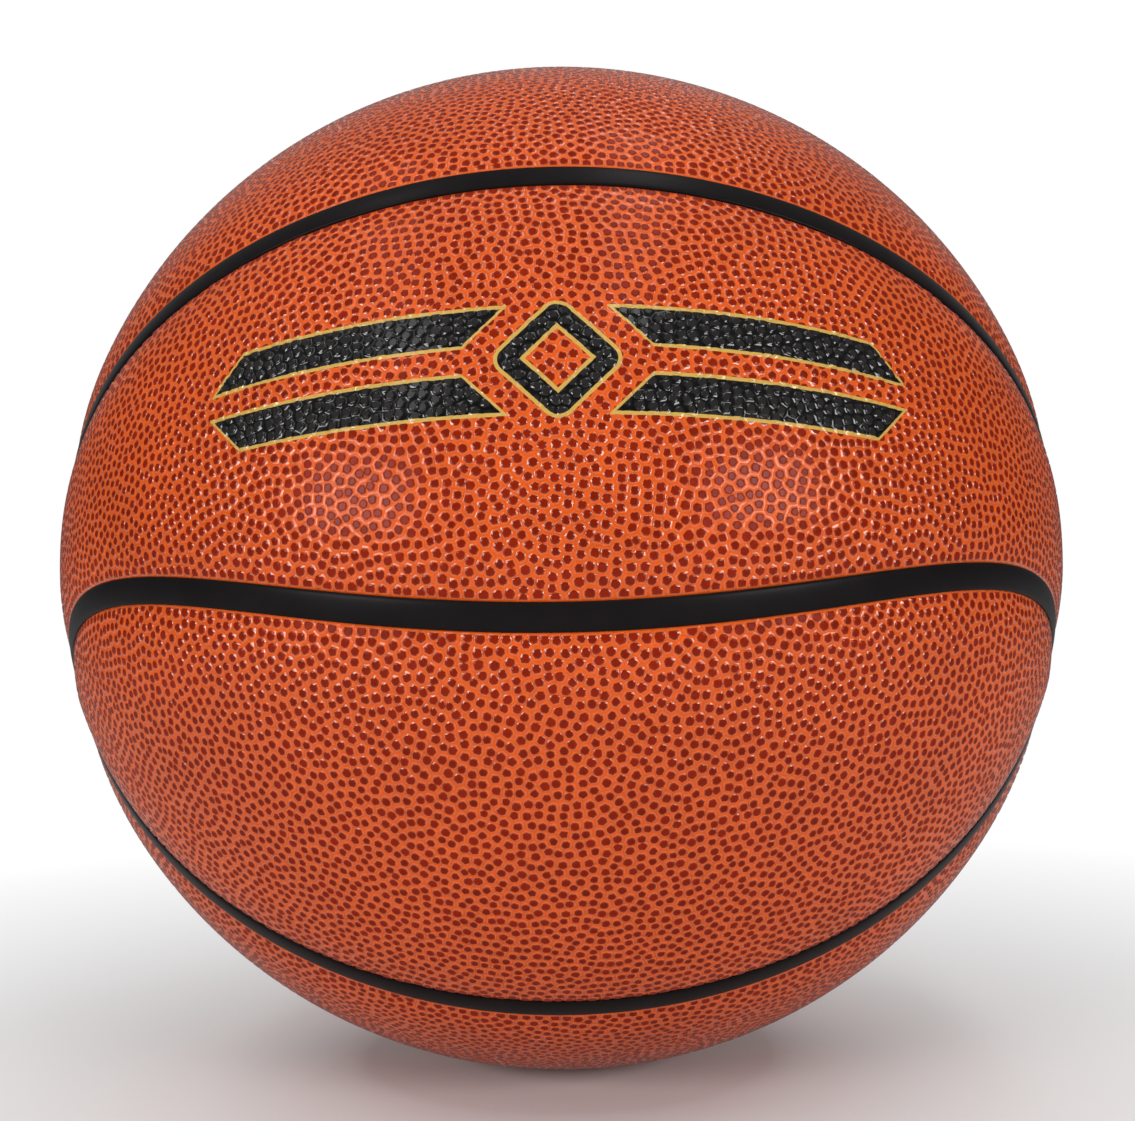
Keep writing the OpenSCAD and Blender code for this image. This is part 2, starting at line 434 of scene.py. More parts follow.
def pebbled(tree, shape, given):
    """Raises a flat-topped pebble with rounded corners and shoulder on every cell."""
    place = position(tree)
    area = add(tree, "GeometryNodeInputMeshFaceArea").outputs[0]
    mean = figure(tree, "SQRT", figure(tree, "DIVIDE", area, math.pi))
    fields = {"centre": place, "lean": facing(tree), "mean": mean, "chance": chances(tree, given)}
    shape, centre, lean, mean, chance = keep(tree, shape, "FACE", **fields)
    shape = stored(tree, shape, True, "tone", chance, "FACE")
    shape = stored(tree, shape, True, "rise", 0.0)
    shape, top, _ = grown(tree, shape, True, "FACES")
    rise = times(tree, given["Rise"], times(tree, named(tree, "pressed"), -PRESSED_BY, 1.0))
    arm = arrow(tree, "SUBTRACT", place, centre)
    arm = arrow(tree, "SUBTRACT", arm, scaled(tree, lean, arrow(tree, "DOT_PRODUCT", arm, lean)))
    gain = minus(tree, figure(tree, "DIVIDE", mean, arrow(tree, "LENGTH", arm)), 1.0)
    arm = scaled(tree, arm, around(tree, chance, 1.0, given["Size Spread"]))
    shape, arm, gain = keep(tree, shape, "POINT", arm=arm, gain=gain)
    for i, (share, roundness, lift, height) in enumerate(PEBBLE_RINGS):
        if i:
            shape, top, _ = grown(tree, shape, top, "FACES")
        share = times(tree, named(tree, "inked"), given["Ink Spread"], share)
        even = times(tree, gain, times(tree, given["Rounding"], roundness), 1.0)
        spot = arrow(tree, "ADD", centre, scaled(tree, lean, times(tree, rise, lift)))
        spot = arrow(tree, "ADD", spot, scaled(tree, arm, times(tree, even, share)))
        shape = moved(tree, shape, top, spot)
        shape = stored(tree, shape, top, "rise", height)
    shape = shaded(tree, shape, True, True)
    return shaded(tree, shape, top, False)


# Steps of the plain edge outside the cells, at a seam and at the valve: run outwards, depth, in millimetres
SEAM_STEPS = ((0.03, 1.54), (0.06, 1.58), (0.085, 1.66), (0.1, 1.78), (0.1, 2.1), (0, 2.1))
VALVE_STEPS = ((0.5, 0.5), (1.2, 0.56), (2.5, 0.58), (2.8, 0.8), (2.8, 1.3), (0, 1.3))

# The depth in millimetres that an edge is shaded smooth to, and the gap that closing a shape takes up
SMOOTH_DEPTH = 2
CLOSING_GAP = 0.002 * MM


def edged(tree, shape, seam_steps, valve_steps):
    """Grows the border outwards and down: the plain edge, its wall, and back along its underside."""
    count = add(tree, "GeometryNodeInputMeshEdgeNeighbors").outputs[0]
    border = add(tree, "FunctionNodeCompare", {2: count, 3: 1}, data_type="INT", operation="EQUAL")
    shape, straight = keep(tree, shape, "POINT", straight=arrow(tree, "NORMALIZE", position(tree)))
    way, at_valve = named(tree, "outward", "FLOAT_VECTOR"), named(tree, "at_valve")
    chosen = border.outputs[0]
    for (run, depth), (valve_run, valve_depth) in zip(seam_steps, valve_steps):
        shape, chosen, side = grown(tree, shape, chosen, "EDGES")
        out = times(tree, at_valve, (valve_run - run) * MM / BALL_R, run * MM / BALL_R)
        low = times(tree, at_valve, (depth - valve_depth) * MM, BALL_R - depth * MM)
        spot = arrow(tree, "NORMALIZE", arrow(tree, "ADD", straight, scaled(tree, way, out)))
        shape = moved(tree, shape, chosen, scaled(tree, spot, low))
        shape = shaded(tree, shape, side, depth < SMOOTH_DEPTH)
    return shape


def backed(tree, shape, base, under_r, finish, out):
    """Closes a shape with its own base, moved down to a radius and turned over."""
    under = moved(tree, base, True, scaled(tree, arrow(tree, "NORMALIZE", position(tree)), under_r))
    under = shaded(tree, add(tree, "GeometryNodeFlipFaces", {"Mesh": under}).outputs[0], True, True)
    both = add(tree, "GeometryNodeJoinGeometry")
    for part in (under, shape):
        tree.links.new(part, both.inputs[0])
    feeds = {"Geometry": both.outputs[0], "Distance": CLOSING_GAP}
    handed_out(tree, add(tree, "GeometryNodeMergeByDistance", feeds).outputs[0], finish, out)


def grained_panel_tree():
    """Shape tree of one cover panel: pebbles, rolled edge and a closed underside."""
    values = {"Rise": RISE, "Roll Width": ROLL_W, "Roll Depth": ROLL_DEPTH, "Rounding": 1.0,
              "Size Spread": 0.14, "Ink Spread": 0.04, "Pad Radius": PAD_R, "Pad Margin": PAD_MARGIN,
              "Seed": 1, "Finish": None}
    tree, given, out = new_shape_tree("grained_panel", values)
    shape = rolled_over(tree, given["Geometry"], given["Roll Width"], given["Roll Depth"])
    shape = pebbled(tree, shape, given)
    shape = edged(tree, shape, SEAM_STEPS, VALVE_STEPS)
    inwards = minus(tree, named(tree, "edge"), GRAIN_EDGE)
    margin = minus(tree, given["Pad Margin"], GRAIN_EDGE)
    over_pad = figure(tree, "DIVIDE", inwards, margin, clamp=True)
    inner = times(tree, over_pad, minus(tree, given["Pad Radius"], CARCASS_R), CARCASS_R)
    backed(tree, shape, given["Geometry"], inner, given["Finish"], out)
    return tree


# Steps of a sponge pad's wall, as those of a panel's edge
PAD_STEPS = ((0.02, 1.36), (0.02, 2.1), (0, 2.1))

# The rings of a pore as shares of its width and depth, and how far pores differ in each: swing and least
PORE_RINGS = ((1.0, 0.0), (0.62, 1.0))
PORE_WIDTHS = (0.6, 0.6)
PORE_DEPTHS = (0.5, 0.5)


def sponge_pad_tree():
    """Shape tree of one sponge pad: open pores in its outer face, a straight wall, a plain inner face."""
    values = {"Pore Depth": PORE_DEPTH, "Pore Size": 0.62, "Seed": 1, "Finish": None}
    tree, given, out = new_shape_tree("sponge_pad", values)
    place = position(tree)
    fields = {"centre": place, "lean": facing(tree), "chance": chances(tree, given)}
    shape, centre, lean, chance = keep(tree, given["Geometry"], "FACE", **fields)
    shape = shaded(tree, shape, True, True)
    size = times(tree, given["Pore Size"], times(tree, chance, *PORE_WIDTHS))
    depth = times(tree, given["Pore Depth"], times(tree, chance, *PORE_DEPTHS))
    shape, top, _ = grown(tree, shape, True, "FACES")
    shape, arm = keep(tree, shape, "POINT", arm=arrow(tree, "SUBTRACT", place, centre))
    for i, (share, low) in enumerate(PORE_RINGS):
        if i:
            shape, top, _ = grown(tree, shape, top, "FACES")
        spot = arrow(tree, "ADD", centre, scaled(tree, arm, times(tree, size, share)))
        spot = arrow(tree, "SUBTRACT", spot, scaled(tree, lean, times(tree, depth, low)))
        shape = moved(tree, shape, top, spot)
        shape = stored(tree, shape, top, "pore", low)
    shape = edged(tree, shape, PAD_STEPS, PAD_STEPS)
    backed(tree, shape, given["Geometry"], CARCASS_R, given["Finish"], out)
    return tree


# The plain print on the front crescent: its place, its line, and how far the line presses and ink spreads
PRINT_LIFT = SEAM_LEAN - math.radians(21.8)
PRINT_LINE = 0.75
PRESS_REACH = 1.15
INKED_FROM = 0.5

# Its shapes in millimetres: middle, rows that turn or slant, half sizes, corner radius, half a frame's band
SLANT_UP = ((1.0, 1.0), (0.0, 1.0))
SLANT_DOWN = ((1.0, -1.0), (0.0, 1.0))
TURNED = ((0.71, 0.71), (-0.71, 0.71))
BAR = ((28.5, 4.4), 0.6, 0.0)
PRINT_SHAPES = (
    ((0.0, 0.0), TURNED, (6.9, 6.9), 0.8, 2.6),
    ((42.0, 6.9), SLANT_UP, *BAR),
    ((42.0, -6.9), SLANT_DOWN, *BAR),
    ((-42.0, 6.9), SLANT_DOWN, *BAR),
    ((-42.0, -6.9), SLANT_UP, *BAR),
)


def print_distance(points):
    """How far points on the ball are outside the print, in millimetres; inside it is negative."""
    turn = np.array(Matrix.Rotation(PRINT_LIFT - math.pi / 2, 3, "X"))
    x, y, z = (unit(points) @ turn.T).T
    u, v = (2 * BALL_R / MM * a / (1 + z) for a in (x, y))
    gaps = []
    for (cu, cv), rows, (hu, hv), corner, half in PRINT_SHAPES:
        across, up = ((u - cu) * a + (v - cv) * b for a, b in rows)
        across, up = np.abs(across) - hu + corner, np.abs(up) - hv + corner
        past = np.hypot(np.maximum(across, 0), np.maximum(up, 0))
        gap = past + np.minimum(np.maximum(across, up), 0) - corner
        gaps.append(np.abs(gap) - half if half else gap)
    return np.min(gaps, axis=0)


def press_print(mesh):
    """Marks the cells that the print's outline presses flat, and those that its ink fills out."""
    middles = np.empty(3 * len(mesh.polygons))
    mesh.polygons.foreach_get("center", middles)
    gap = print_distance(middles.reshape(-1, 3)) + PRINT_LINE / 2
    marks = {"pressed": np.clip(PRESS_REACH - np.abs(gap), 0, 1), "inked": (gap < -INKED_FROM).astype(float)}
    for name, values in marks.items():
        mesh.attributes.new(name, "FLOAT", "FACE").data.foreach_set("value", values)


def dress_panels():
    """Eight grained cover panels, the front crescent with the print."""
    grain = pebble_finish()
    plain = leather(grain, False)
    rng = np.random.default_rng(GRAIN_SEED)
    tree = grained_panel_tree()
    for seed, (form, place) in enumerate(PANELS):
        cells = cells_mesh("cells", form, place, PITCH, GRAIN_EDGE, VALLEY_R, rng)
        finish = plain
        if (form, place) == ("crescent", "front"):
            press_print(cells)
            finish = leather(grain, True)
        panel = made_by(tree, "grained_" + form + "_" + place, cells, Seed=seed, Finish=finish)
        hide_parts(form + "_panel_" + place)
        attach(panel, "root")


def dress_pads():
    """Eight sponge pads, one under each panel."""
    foam = sponge()
    rng = np.random.default_rng(GRAIN_SEED + 1)
    tree = sponge_pad_tree()
    for seed, (form, place) in enumerate(PANELS):
        hole_r = HOLE_R - PAD_MARGIN
        cells = cells_mesh("pores", form, place, SPONGE_PITCH, PAD_MARGIN, PAD_R, rng, hole_r, math.inf)
        pad = made_by(tree, "sponge_" + form + "_" + place, cells, Seed=seed, Finish=foam)
        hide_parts(form + "_pad_" + place)
        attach(pad, "root")


# The winding: strands of three threads laid round the ball on great circles, over a skin of latex
STRAND_GAP = 44 * MM
STRAND_SIDES = 80
STRAND_SEED = 3
THREAD_R = 0.13 * MM
THREAD_SIDES = 4
THREAD_STEP = 0.75 * MM
THREAD_PLAY = 0.12 * MM
THREAD_OUT = 0.4
SKIN_R = BLADDER_R + 0.2 * MM


def strand_tree():
    """Shape tree of the winding's threads: a strand of three round each given direction."""
    values = {"Radius": BALL_R, "Thread Radius": THREAD_R, "Step": THREAD_STEP, "Play": THREAD_PLAY,
              "Seed": 1, "Finish": None}
    tree, given, out = new_shape_tree("wound_strands", values)
    feeds = {"Resolution": THREAD_SIDES, "Radius": given["Thread Radius"]}
    section = add(tree, "GeometryNodeCurvePrimitiveCircle", feeds).outputs[0]
    strand = add(tree, "GeometryNodeJoinGeometry")
    for side in (-1.0, 0.0, 1.0):
        feeds = {"Resolution": STRAND_SIDES, "Radius": given["Radius"]}
        ring = add(tree, "GeometryNodeCurvePrimitiveCircle", feeds).outputs[0]
        aside = add(tree, "ShaderNodeCombineXYZ", {2: times(tree, given["Step"], side)}).outputs[0]
        shifted = add(tree, "GeometryNodeTransform", {"Geometry": ring, "Translation": aside}).outputs[0]
        feeds = {"Curve": shifted, "Profile Curve": section}
        tree.links.new(add(tree, "GeometryNodeCurveToMesh", feeds).outputs[0], strand.inputs[0])
    points, way = keep(tree, given["Geometry"], "POINT", way=position(tree))
    points = moved(tree, points, True, scaled(tree, way, 0.0))
    turn = add(tree, "FunctionNodeAlignRotationToVector", {"Vector": way}, axis="Z").outputs[0]
    play = figure(tree, "DIVIDE", times(tree, chances(tree, given), given["Play"]), given["Radius"])
    size = figure(tree, "ADD", 1.0, play)
    feeds = {"Points": points, "Instance": strand.outputs[0], "Rotation": turn, "Scale": size}
    handed_out(tree, add(tree, "GeometryNodeInstanceOnPoints", feeds).outputs[0], given["Finish"], out)
    return tree


def dress_winding():
    """Thread winding: a thin latex skin with strands of thread laid over it clear of the valve."""
    finish = thread()
    rng = np.random.default_rng(GRAIN_SEED + 2)
    ways = spiral_sites(STRAND_GAP, rng)
    ways = ways[ways @ np.array(LEAN @ VALVE_WAY) > (NECK_R + 2 * THREAD_STEP) / BLADDER_R]
    mesh = bpy.data.meshes.new("strand_ways")
    mesh.from_pydata(ways.tolist(), [], [])
    values = {"Radius": SKIN_R + THREAD_R * THREAD_OUT, "Seed": STRAND_SEED, "Finish": finish}
    strands = made_by(strand_tree(), "strands", mesh, **values)
    hollow = (ball_shape("inside", BLADDER_R), "DIFFERENCE")
    hole = (valve_post("winding_hole", NECK_R), "DIFFERENCE")
    skin = joined(ball_shape("thread_winding_laid", SKIN_R), [hollow, hole])
    winding = combined("wound_thread", [skin, strands], finish)
    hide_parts("thread_winding")
    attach(winding, "root")


def mesh_of(bm, name):
    mesh = bpy.data.meshes.new(name)
    bm.to_mesh(mesh)
    bm.free()
    return mesh


def combined(name, pieces, finish):
    """One piece of several, with their faces kept as they are."""
    bm = bmesh.new()
    for piece in pieces:
        bm.from_mesh(piece.data)
        bpy.data.objects.remove(piece)
    mesh = mesh_of(bm, name)
    mesh.materials.append(finish)
    return new_piece(name, mesh)


def principled(name):
    """An empty material: its tree and its shader."""
    material = bpy.data.materials.new(name)
    material.use_nodes = True
    tree = material.node_tree
    return material, tree, tree.nodes["Principled BSDF"]


def object_spot(tree):
    return add(tree, "ShaderNodeTexCoord").outputs["Object"]


def mark(tree, name):
    """A value that a piece carries on its faces or points."""
    return add(tree, "ShaderNodeAttribute", attribute_name=name).outputs["Fac"]


def mixed(tree, share, low, high):
    """A colour between two."""
    return add(tree, "ShaderNodeMix", {0: share, 6: low, 7: high}, data_type="RGBA").outputs[2]


def between(tree, share, low, high):
    """A number between two."""
    return add(tree, "ShaderNodeMix", {0: share, 2: low, 3: high}).outputs[0]


def noise(tree, spot, size, detail=2.0):
    """Even noise with lumps of this size in metres."""
    feeds = {"Vector": spot, "Scale": 1 / size, "Detail": detail, "Roughness": 0.55}
    return add(tree, "ShaderNodeTexNoise", feeds).outputs[0]


def band(tree, value, low, high, to_low=0.0, to_high=1.0):
    feeds = {0: value, 1: low, 2: high, 3: to_low, 4: to_high}
    return add(tree, "ShaderNodeMapRange", feeds).outputs[0]


def bumped(tree, shader, height, depth):
    """Lets a height of this depth in metres tilt the shading."""
    bump = add(tree, "ShaderNodeBump", {"Height": height, "Distance": depth, "Strength": 1.0})
    put(tree, shader.inputs["Normal"], bump.outputs[0])


def put_all(tree, sockets, sources):
    for name, source in sources.items():
        put(tree, sockets[name], source)


def print_nodes(tree, spot):
    """The same print as a distance in a material, in millimetres."""
    feeds = {"Vector": spot, "Rotation": (PRINT_LIFT - math.pi / 2, 0, 0), "Scale": (1 / MM, 1 / MM, 1 / MM)}
    turned = arrow(tree, "NORMALIZE", add(tree, "ShaderNodeMapping", feeds).outputs[0])
    x, y, z = add(tree, "ShaderNodeSeparateXYZ", {0: turned}).outputs
    lower = figure(tree, "ADD", z, 1.0)
    u, v = (figure(tree, "DIVIDE", times(tree, a, 2 * BALL_R / MM), lower) for a in (x, y))
    total = None
    for (cu, cv), rows, (hu, hv), corner, half in PRINT_SHAPES:
        out, up = minus(tree, u, cu), minus(tree, v, cv)
        across, up = (times(tree, out, a, times(tree, up, b)) for a, b in rows)
        across = minus(tree, figure(tree, "ABSOLUTE", across), hu - corner)
        up = minus(tree, figure(tree, "ABSOLUTE", up), hv - corner)
        past = [figure(tree, "MAXIMUM", a, 0.0) for a in (across, up)]
        past = figure(tree, "SQRT", times(tree, past[0], past[0], figure(tree, "POWER", past[1], 2.0)))
        within = figure(tree, "MINIMUM", figure(tree, "MAXIMUM", across, up), 0.0)
        gap = minus(tree, figure(tree, "ADD", past, within), corner)
        if half:
            gap = minus(tree, figure(tree, "ABSOLUTE", gap), half)
        total = gap if total is None else figure(tree, "MINIMUM", total, gap)
    return total


# Colours of the cover, as light values
NET_COLOUR = (0.66, 0.092, 0.011, 1)
FLANK_COLOUR = (0.72, 0.115, 0.019, 1)
DOT_COLOUR = (0.22, 0.0125, 0.0018, 1)
# The dot's rim is darker than its top: painted shade round the edge of each pebble top
SHADED_DOT_RIM_COLOUR = (0.115, 0.0065, 0.001, 1)
PRINT_COLOUR = (0.002, 0.0016, 0.0015, 1)
# The print's black is lighter on the pebble tops than in the valleys: painted sheen on the ink
PRINT_TOP_SHEEN_COLOUR = (0.0165, 0.0145, 0.014, 1)
LINE_COLOUR = (0.56, 0.35, 0.08, 1)

# Marks of height between which one look of the grain passes into the next: 0 in a valley, 1 on a top
NET_TO_FLANK = (0.08, 0.5)
NET_TO_DOT = (0.42, 0.7)
SHADED_RIM_TO_DOT = (0.62, 0.98)
GLOSS_NET_TO_RIM = (0.05, 0.35)
GLOSS_RIM_TO_DOT = (0.8, 1.0)
PRINT_TO_SHEEN_TOP = (0.6, 1.0)

# The cover's clouds, mottle and fine texture, its coat, and what the print does to it
CLOUD_SIZE = 24 * MM
MOTTLE_SIZE = 1.1 * MM
MOTTLE_ROUGHNESS = 0.8
FINE_SIZE = 0.35 * MM
COVER_RELIEF = 0.015 * MM
COAT_ROUGHNESS = 0.14
COAT_IOR = 1.45
COVER_SPECULAR = 0.04
PRINT_GLOSS = 0.6
PRINT_CALMS = 0.7
LINE_BLUR = 0.03
INK_BLUR = 0.04


def new_shade_tree(name, inputs, outputs):
    """An empty group for materials: the tree, its named inputs and its outputs."""
    tree = bpy.data.node_groups.new(name, "ShaderNodeTree")
    for label, value in inputs.items():
        kind = "NodeSocketColor" if isinstance(value, tuple) else "NodeSocketFloat"
        tree.interface.new_socket(label, in_out="INPUT", socket_type=kind).default_value = value
    for label in outputs:
        kind = "NodeSocketColor" if label == "Colour" else "NodeSocketFloat"
        tree.interface.new_socket(label, in_out="OUTPUT", socket_type=kind)
    return tree, tree.nodes.new("NodeGroupInput").outputs, tree.nodes.new("NodeGroupOutput").inputs


def pebble_finish():
    """Group of the grain: orange net and flanks, dark pebble tops with painted shade on their rims, gloss
    and fine texture.
    """
    values = {"Net": NET_COLOUR, "Flank": FLANK_COLOUR, "Dot": DOT_COLOUR, "Shaded Dot Rim": SHADED_DOT_RIM_COLOUR,
              "Clouds": 0.3, "Mottle": 0.4, "Each Dot": 0.3, "Dot Roughness": 0.2, "Net Roughness": 0.3,
              "Net Gloss": 0.36, "Rim Gloss": 1.0, "Dot Gloss": 0.055}
    tree, given, out = new_shade_tree("pebble_finish", values, ("Colour", "Roughness", "Gloss", "Height"))
    spot = object_spot(tree)
    rise = mark(tree, "rise")
    top = band(tree, rise, *NET_TO_DOT)
    mottle = noise(tree, spot, MOTTLE_SIZE)
    net = mixed(tree, band(tree, rise, *NET_TO_FLANK), given["Net"], given["Flank"])
    # The dot darkens towards its rim: painted shade
    dot = mixed(tree, band(tree, rise, *SHADED_RIM_TO_DOT), given["Shaded Dot Rim"], given["Dot"])
    bright = around(tree, noise(tree, spot, CLOUD_SIZE, 3.0), 1.0, given["Clouds"])
    bright = around(tree, mottle, bright, given["Mottle"])
    bright = around(tree, mark(tree, "tone"), bright, times(tree, top, given["Each Dot"]))
    rough = between(tree, top, given["Net Roughness"], given["Dot Roughness"])
    gloss = between(tree, band(tree, rise, *GLOSS_NET_TO_RIM), given["Net Gloss"], given["Rim Gloss"])
    gloss = between(tree, band(tree, rise, *GLOSS_RIM_TO_DOT), gloss, given["Dot Gloss"])
    put_all(tree, out, {"Colour": scaled(tree, mixed(tree, top, net, dot), bright),
                        "Roughness": times(tree, rough, around(tree, mottle, 1.0, MOTTLE_ROUGHNESS)),
                        "Gloss": gloss, "Height": noise(tree, spot, FINE_SIZE, 3.0)})
    return tree


def leather(grain, printed):
    """Composite leather with the grain's finish, and on the front panel the print, its black lighter on
    pebble tops as painted sheen.
    """
    material, tree, shader = principled("printed_leather" if printed else "grained_leather")
    finish = add(tree, "ShaderNodeGroup", node_tree=grain).outputs
    colour, gloss, height = finish["Colour"], finish["Gloss"], finish["Height"]
    if printed:
        gap = print_nodes(tree, object_spot(tree))
        inked = band(tree, gap, LINE_BLUR, -LINE_BLUR)
        filled = band(tree, gap, INK_BLUR - PRINT_LINE, -INK_BLUR - PRINT_LINE)
        # The black is lighter on pebble tops: painted sheen
        black_with_sheen = mixed(tree, band(tree, mark(tree, "rise"), *PRINT_TO_SHEEN_TOP), PRINT_COLOUR, PRINT_TOP_SHEEN_COLOUR)
        colour = mixed(tree, filled, mixed(tree, inked, colour, LINE_COLOUR), black_with_sheen)
        gloss = figure(tree, "MAXIMUM", gloss, times(tree, inked, PRINT_GLOSS))
        height = times(tree, height, times(tree, inked, -PRINT_CALMS, 1.0))
    put_all(tree, shader.inputs, {"Base Color": colour, "Roughness": finish["Roughness"],
                                  "Specular IOR Level": COVER_SPECULAR, "Coat Weight": gloss,
                                  "Coat Roughness": COAT_ROUGHNESS, "Coat IOR": COAT_IOR})
    bumped(tree, shader, height, COVER_RELIEF)
    return material


# The rubbers: how strongly each reflects, its relief, and its values of their shared finish
RUBBERS = {
    "rib_rubber": (0.05, 0.004 * MM, {"Base": (0.0088, 0.0071, 0.0075, 1), "Roughness": 0.34}),
    "bladder_rubber": (0.4, 0.02 * MM, {"Base": (0.02, 0.019, 0.02, 1), "Dusting": 0.5, "Roughness": 0.55}),
    "valve_rubber": (0.4, 0.008 * MM, {"Base": (0.012, 0.012, 0.012, 1), "Roughness": 0.45}),
}

# The rubbers' clouds, how far these and the fine skin swing, and where dust begins and is full
RUBBER_CLOUDS = 9 * MM
CLOUD_SWING = 0.6
SKIN_SWING = 0.5
DUSTY = (0.75, 1.3)


def rubber_finish():
    """Group of moulded rubber: a faint cloudy tone, dust in patches and a fine skin."""
    values = {"Base": (0.01, 0.01, 0.01, 1), "Dust": (0.3, 0.3, 0.3, 1), "Dusting": 0.0,
              "Grain Size": 0.5 * MM, "Roughness": 0.4}
    tree, given, out = new_shade_tree("rubber_finish", values, ("Colour", "Roughness", "Height"))
    spot = object_spot(tree)
    cloud = noise(tree, spot, RUBBER_CLOUDS, 4.0)
    feeds = {"Vector": spot, "Scale": figure(tree, "DIVIDE", 1.0, given["Grain Size"]), "Detail": 3.0}
    fine = add(tree, "ShaderNodeTexNoise", feeds).outputs[0]
    tone = scaled(tree, given["Base"], around(tree, cloud, 1.0, CLOUD_SWING))
    dusty = times(tree, band(tree, figure(tree, "ADD", cloud, fine), *DUSTY), given["Dusting"])
    rough = times(tree, given["Roughness"], around(tree, fine, 1.0, SKIN_SWING))
    colour = mixed(tree, dusty, tone, given["Dust"])
    put_all(tree, out, {"Colour": colour, "Roughness": rough, "Height": fine})
    return tree


def rubber(finish, name):
    """A rubber of its own colour and skin, from the rubbers' shared finish."""
    specular, relief, values = RUBBERS[name]
    material, tree, shader = principled(name)
    skin = add(tree, "ShaderNodeGroup", values, node_tree=finish).outputs
    put_all(tree, shader.inputs, {"Base Color": skin["Colour"], "Roughness": skin["Roughness"],
                                  "Specular IOR Level": specular})
    bumped(tree, shader, skin["Height"], relief)
    return material


# Colours and textures of the foam and of the thread
FOAM_COLOUR = (0.55, 0.4, 0.19, 1)
# Lighter on the raised walls of the foam's cells and darker in their hollows: painted light and shade
FOAM_LIT_TOP_COLOUR = (0.78, 0.64, 0.36, 1)
# Darker towards the bottom of each pore: painted shade
PORE_SHADE_COLOUR = (0.28, 0.17, 0.06, 1)
FOAM_CELL = 0.5 * MM
FOAM_SHADE_TO_LIGHT = (0.1, 0.6)
FOAM_SWING = 0.3
FOAM_LUMPS = 15 * MM
FOAM_RELIEF = 0.12 * MM
LATEX_COLOUR = (0.56, 0.47, 0.27, 1)
THREAD_COLOUR = (0.8, 0.77, 0.66, 1)
THREAD_ROUGHNESS = (0.45, 0.75)
FIBRE_SIZE = 0.3 * MM
FIBRE_SWING = 0.5
FIBRE_RELIEF = 0.05 * MM


def sponge():
    """Open foam: warm cream with painted light on its cells' raised walls, and painted shade in their
    hollows and deep in its pores.
    """
    material, tree, shader = principled("pad_sponge")
    spot = object_spot(tree)
    cells = add(tree, "ShaderNodeTexVoronoi", {"Vector": spot, "Scale": 1 / FOAM_CELL}).outputs["Distance"]
    # Painted light on the raised cell walls, painted shade in the cell hollows
    colour = mixed(tree, band(tree, cells, *FOAM_SHADE_TO_LIGHT), FOAM_COLOUR, FOAM_LIT_TOP_COLOUR)
    # Painted shade deepening into the pores
    colour = mixed(tree, mark(tree, "pore"), colour, PORE_SHADE_COLOUR)
    colour = scaled(tree, colour, around(tree, noise(tree, spot, FOAM_LUMPS), 1.0, FOAM_SWING))
    put_all(tree, shader.inputs, {"Base Color": colour, "Roughness": 0.85, "Sheen Weight": 0.2})
    bumped(tree, shader, cells, FOAM_RELIEF)
    return material


def thread():
    """Off-white thread in a skin of latex, yellower where the latex is thick."""
    material, tree, shader = principled("latexed_thread")
    spot = object_spot(tree)
    up = band(tree, arrow(tree, "LENGTH", spot), SKIN_R, SKIN_R + THREAD_R)
    fine = noise(tree, spot, FIBRE_SIZE, 3.0)
    colour = mixed(tree, up, LATEX_COLOUR, THREAD_COLOUR)
    colour = scaled(tree, colour, around(tree, fine, 1.0, FIBRE_SWING))
    rough = band(tree, up, 0.0, 1.0, *THREAD_ROUGHNESS)
    put_all(tree, shader.inputs, {"Base Color": colour, "Roughness": rough})
    bumped(tree, shader, fine, FIBRE_RELIEF)
    return material


# Section of a rib: in from its side to its middle, and depth below the ball, in millimetres
RIB_SECTION = ((0, 2.6), (0, 1.3), (0.06, 1.12), (0.22, 1.0), (0.5, 0.92), (1.1, 0.85), (1.9, 0.8))
RIB_MIDDLE = 0.78

# How finely ribs, balls and posts are made, and from what angle an edge looks sharp
RIB_STEPS = 300
BALL_SPLITS = 6
POST_SIDES = 48
SHARP = math.radians(32)


def loop_line(turn):
    """Points along the middle of the loop round the far pole."""
    c, r, s = LOOP_C / BALL_R, LOOP_R / BALL_R, np.sin(turn) ** 2
    free = c * c + s - r * r
    height = free / (c + np.sqrt(c * c - (1 - s) * free))
    ring = np.sqrt(1 - height ** 2)
    return np.stack((ring * np.cos(turn), height, ring * np.sin(turn)), -1)


def rib_along(name, line):
    """A closed rib of the section swept along a seam's middle line."""
    ahead = unit(np.roll(line, -1, 0) - np.roll(line, 1, 0))
    side = unit(np.cross(line, ahead))
    half = [(RIB_W / 2 / MM - a, d) for a, d in RIB_SECTION]
    rows = []
    for across, depth in half + [(0, RIB_MIDDLE)] + [(-a, d) for a, d in reversed(half)]:
        angle = across * MM / BALL_R
        rows.append((line * math.cos(angle) + side * math.sin(angle)) * (BALL_R - depth * MM))
    points = np.stack(rows, 1)
    count, width = points.shape[:2]
    faces = [(i * width + j, (i + 1) % count * width + j, (i + 1) % count * width + (j + 1) % width,
              i * width + (j + 1) % width) for i in range(count) for j in range(width)]
    mesh = bpy.data.meshes.new(name)
    mesh.from_pydata(points.reshape(-1, 3).tolist(), [], faces)
    return leant(name, mesh)


def leant(name, mesh):
    """A piece of a closed mesh, leant as the ball lies, with its faces outwards."""
    bm = bmesh.new()
    bm.from_mesh(mesh)
    bmesh.ops.recalc_face_normals(bm, faces=bm.faces)
    bmesh.ops.transform(bm, matrix=LEAN.to_4x4(), verts=bm.verts)
    bm.to_mesh(mesh)
    bm.free()
    return new_piece(name, mesh)


def ball_shape(name, radius):
    bm = bmesh.new()
    bmesh.ops.create_icosphere(bm, subdivisions=BALL_SPLITS, radius=radius)
    return leant(name, mesh_of(bm, name))


